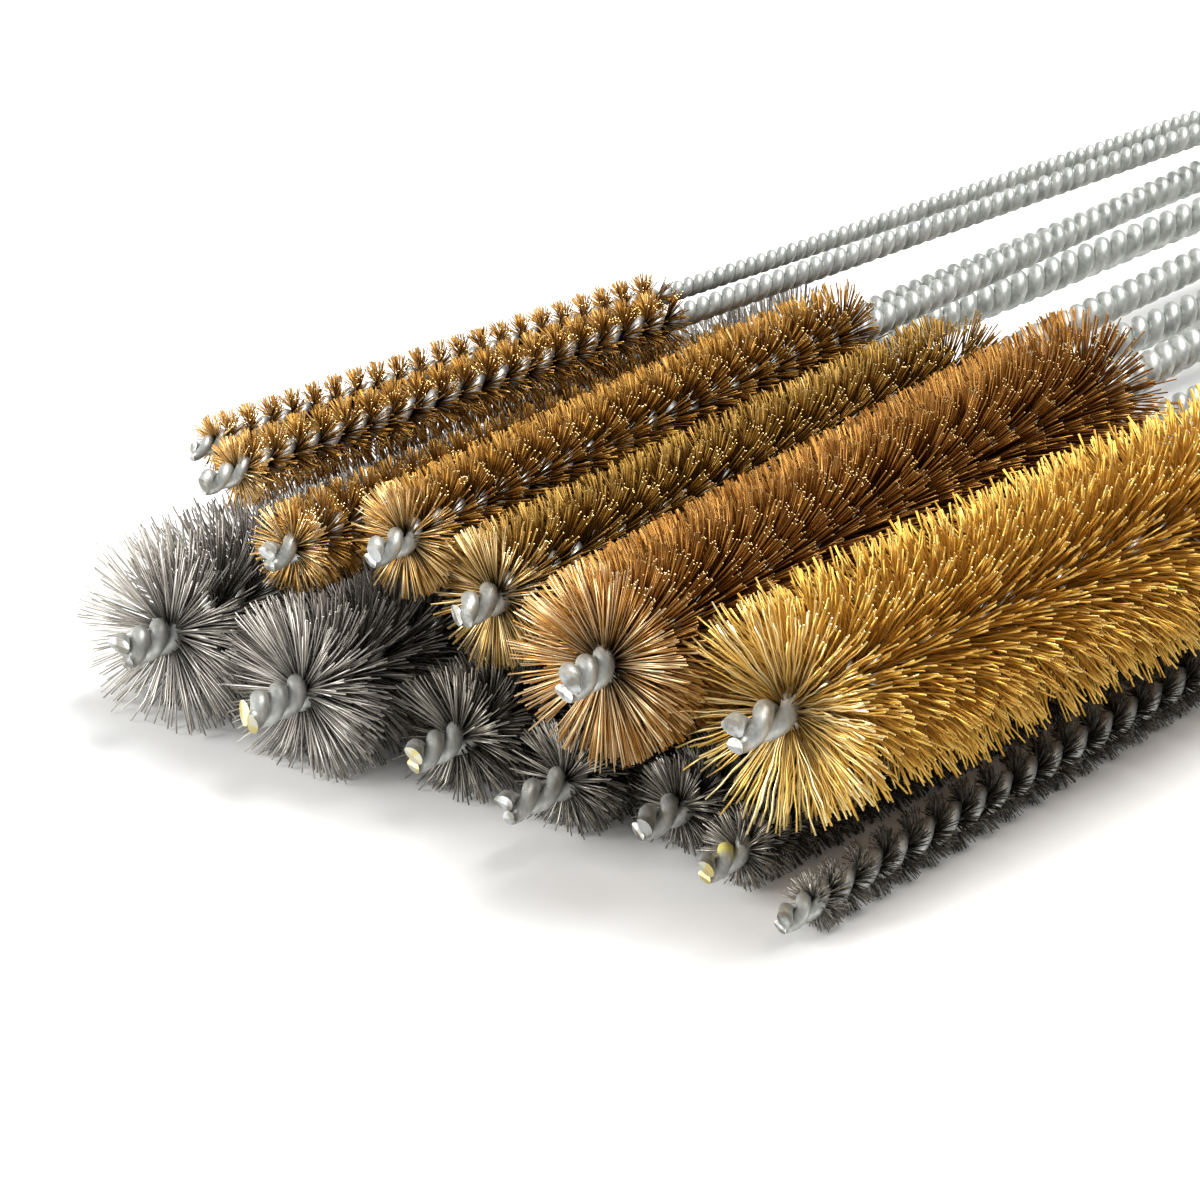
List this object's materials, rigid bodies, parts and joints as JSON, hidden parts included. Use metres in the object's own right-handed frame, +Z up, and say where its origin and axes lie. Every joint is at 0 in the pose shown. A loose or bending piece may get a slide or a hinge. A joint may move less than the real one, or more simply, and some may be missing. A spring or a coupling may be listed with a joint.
{
  "type": "twisted-in-wire tube brushes",
  "caption": "Loose pile of twisted-in-wire tube brushes with brass and steel wire fill, in graded diameters, on galvanised twisted stems.",
  "frame": {"origin": "on the table, under the middle of the box round the whole pile", "axes": "+Y from the working tips towards the stem ends, +X across the pile to the right seen from the tips, +Z up"},
  "size_m": [0.093, 0.3134, 0.0316],
  "materials": {
    "galvanised_wire": "drawn and galvanised, satin",
    "brass_filament": "fine drawn brass wire, bright",
    "crimped_brass_filament": "fine crimped brass wire, bright",
    "steel_filament": "fine drawn steel wire, dull grey"
  },
  "bodies": {
    "steel_22": {"steel_22_wire_a": "galvanised_wire", "steel_22_wire_b": "galvanised_wire", "steel_22_fill": "steel_filament"},
    "steel_20": {"steel_20_wire_a": "galvanised_wire", "steel_20_wire_b": "galvanised_wire", "steel_20_fill": "steel_filament"},
    "steel_15": {"steel_15_wire_a": "galvanised_wire", "steel_15_wire_b": "galvanised_wire", "steel_15_fill": "steel_filament"},
    "steel_12": {"steel_12_wire_a": "galvanised_wire", "steel_12_wire_b": "galvanised_wire", "steel_12_fill": "steel_filament"},
    "steel_10": {"steel_10_wire_a": "galvanised_wire", "steel_10_wire_b": "galvanised_wire", "steel_10_fill": "steel_filament"},
    "steel_8": {"steel_8_wire_a": "galvanised_wire", "steel_8_wire_b": "galvanised_wire", "steel_8_fill": "steel_filament"},
    "steel_6": {"steel_6_wire_a": "galvanised_wire", "steel_6_wire_b": "galvanised_wire", "steel_6_fill": "steel_filament"},
    "brass_25": {"brass_25_wire_a": "galvanised_wire", "brass_25_wire_b": "galvanised_wire", "brass_25_fill": "crimped_brass_filament"},
    "brass_20": {"brass_20_wire_a": "galvanised_wire", "brass_20_wire_b": "galvanised_wire", "brass_20_fill": "brass_filament"},
    "brass_15": {"brass_15_wire_a": "galvanised_wire", "brass_15_wire_b": "galvanised_wire", "brass_15_fill": "brass_filament"},
    "brass_12": {"brass_12_wire_a": "galvanised_wire", "brass_12_wire_b": "galvanised_wire", "brass_12_fill": "brass_filament"},
    "brass_10": {"brass_10_wire_a": "galvanised_wire", "brass_10_wire_b": "galvanised_wire", "brass_10_fill": "brass_filament"},
    "brass_8": {"brass_8_wire_a": "galvanised_wire", "brass_8_wire_b": "galvanised_wire", "brass_8_fill": "brass_filament"},
    "brass_6": {"brass_6_wire_a": "galvanised_wire", "brass_6_wire_b": "galvanised_wire", "brass_6_fill": "brass_filament"}
  },
  "joints": [
    {"name": "steel_20_draw", "type": "slide", "parent": "steel_22", "child": "steel_20", "axis": [-0.0419, -0.9991, 0], "range_m": [0, 0.3]},
    {"name": "steel_15_draw", "type": "slide", "parent": "steel_22", "child": "steel_15", "axis": [-0.0244, -0.9997, 0], "range_m": [0, 0.3]},
    {"name": "steel_12_draw", "type": "slide", "parent": "steel_22", "child": "steel_12", "axis": [-0.0035, -1, 0], "range_m": [0, 0.3]},
    {"name": "steel_10_draw", "type": "slide", "parent": "steel_22", "child": "steel_10", "axis": [0.0175, -0.9998, 0], "range_m": [0, 0.3]},
    {"name": "steel_8_draw", "type": "slide", "parent": "steel_22", "child": "steel_8", "axis": [0.0384, -0.9993, 0], "range_m": [0, 0.3]},
    {"name": "steel_6_draw", "type": "slide", "parent": "steel_22", "child": "steel_6", "axis": [0.0645, -0.9979, 0], "range_m": [0, 0.3]},
    {"name": "brass_25_draw", "type": "slide", "parent": "steel_22", "child": "brass_25", "axis": [0.1079, -0.9935, 0.0349], "range_m": [0, 0.3]},
    {"name": "brass_20_draw", "type": "slide", "parent": "steel_22", "child": "brass_20", "axis": [0.1079, -0.9935, 0.0349], "range_m": [0, 0.3]},
    {"name": "brass_15_draw", "type": "slide", "parent": "steel_22", "child": "brass_15", "axis": [0.0628, -0.9974, 0.0349], "range_m": [0, 0.3]},
    {"name": "brass_12_draw", "type": "slide", "parent": "steel_22", "child": "brass_12", "axis": [0.0628, -0.9974, 0.0349], "range_m": [0, 0.3]},
    {"name": "brass_10_draw", "type": "slide", "parent": "steel_22", "child": "brass_10", "axis": [0.0105, -0.9993, 0.0349], "range_m": [0, 0.3]},
    {"name": "brass_8_draw", "type": "slide", "parent": "steel_22", "child": "brass_8", "axis": [-0.0715, -0.9972, 0.0209], "range_m": [0, 0.3]},
    {"name": "brass_6_draw", "type": "slide", "parent": "steel_22", "child": "brass_6", "axis": [-0.0976, -0.995, 0.0209], "range_m": [0, 0.3]}
  ]
}
